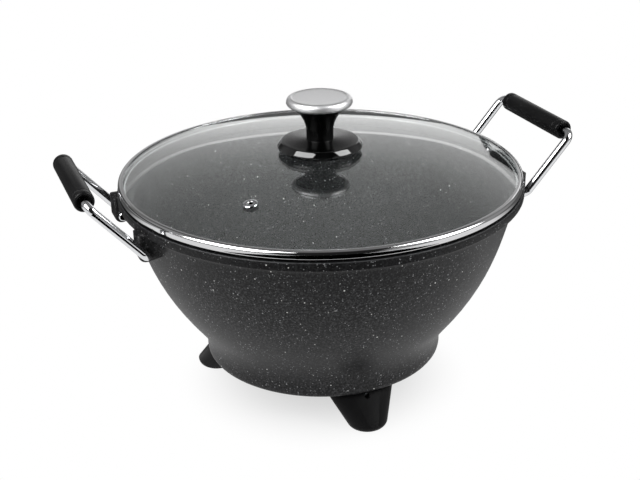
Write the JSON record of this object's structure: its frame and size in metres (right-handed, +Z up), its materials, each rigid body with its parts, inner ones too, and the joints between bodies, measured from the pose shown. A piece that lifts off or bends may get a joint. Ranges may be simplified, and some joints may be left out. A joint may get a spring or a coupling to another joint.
{
  "type": "electric wok",
  "caption": "Electric wok: deep round cast pan on a base ring with feet, folding wire bail handles and a lift-off domed glass lid with a knob.",
  "frame": {"origin": "on the table top, under the pan's axis, at the centre of the part's box", "axes": "+X to the right-hand bail, +Y to the rear, where the inlet is, +Z up along the pan's axis"},
  "size_m": [0.4458, 0.354, 0.2684],
  "materials": {
    "speckled_coating": "satin charcoal stone-look non-stick with white and grey speckles",
    "chrome_wire": "bright chrome plate on round wire",
    "grip_plastic": "satin black moulded phenolic",
    "clear_glass": "clear tempered glass, polished",
    "polished_steel": "mirror-polished stainless steel",
    "chrome_fitting": "bright chrome plate",
    "gloss_phenolic": "high-gloss black phenolic",
    "satin_steel": "satin face with a polished rim",
    "silicone": "matt black silicone",
    "zinc_steel": "bright zinc plate",
    "foot_phenolic": "matt black moulded phenolic",
    "rubber_pad": "matt black rubber",
    "cover_phenolic": "matt black moulded phenolic",
    "element_sheath": "dark oxidised steel sheath",
    "reflector_sheet": "bright rolled sheet",
    "pin_brass": "plain turned brass"
  },
  "bodies": {
    "pan": {"wok_pan": "speckled_coating", "foot_front": "foot_phenolic", "foot_rear_right": "foot_phenolic", "foot_rear_left": "foot_phenolic", "foot_pad_front": "rubber_pad", "foot_pad_rear_right": "rubber_pad", "foot_pad_rear_left": "rubber_pad", "foot_screws": "zinc_steel", "base_cover": "cover_phenolic", "cover_screws": "zinc_steel", "heating_element": "element_sheath", "element_clamps": "zinc_steel", "clamp_screws": "zinc_steel", "heat_reflector": "reflector_sheet", "inlet_shroud": "cover_phenolic", "inlet_screws": "zinc_steel", "contact_pins": "pin_brass", "earth_blade": "zinc_steel", "probe_guide": "zinc_steel"},
    "lid": {"lid_glass": "clear_glass", "lid_band": "polished_steel", "steam_vent": "chrome_fitting", "knob_body": "gloss_phenolic", "knob_cap": "satin_steel", "knob_gaskets": "silicone", "knob_washer": "zinc_steel", "knob_screw": "zinc_steel"},
    "bail_left": {"bail_left": "chrome_wire"},
    "bail_right": {"bail_right": "chrome_wire"},
    "grip_left": {"grip_left": "grip_plastic"},
    "grip_right": {"grip_right": "grip_plastic"}
  },
  "joints": [
    {"name": "lid_lift", "type": "slide", "parent": "pan", "child": "lid", "axis": [0, 0, 1], "range_m": [0, 0.12]},
    {"name": "bail_left_hinge", "type": "hinge", "parent": "pan", "child": "bail_left", "pos_m": [-0.1704, 0, 0.1729], "axis": [0, 1, 0], "range_deg": [-150, 40]},
    {"name": "grip_left_spin", "type": "hinge", "parent": "bail_left", "child": "grip_left", "pos_m": [-0.21444, 0, 0.22339], "axis": [0, 1, 0], "continuous": true},
    {"name": "bail_right_hinge", "type": "hinge", "parent": "pan", "child": "bail_right", "pos_m": [0.1704, 0, 0.1729], "axis": [0, -1, 0], "range_deg": [-150, 40]},
    {"name": "grip_right_spin", "type": "hinge", "parent": "bail_right", "child": "grip_right", "pos_m": [0.21444, 0, 0.22339], "axis": [0, 1, 0], "continuous": true}
  ]
}
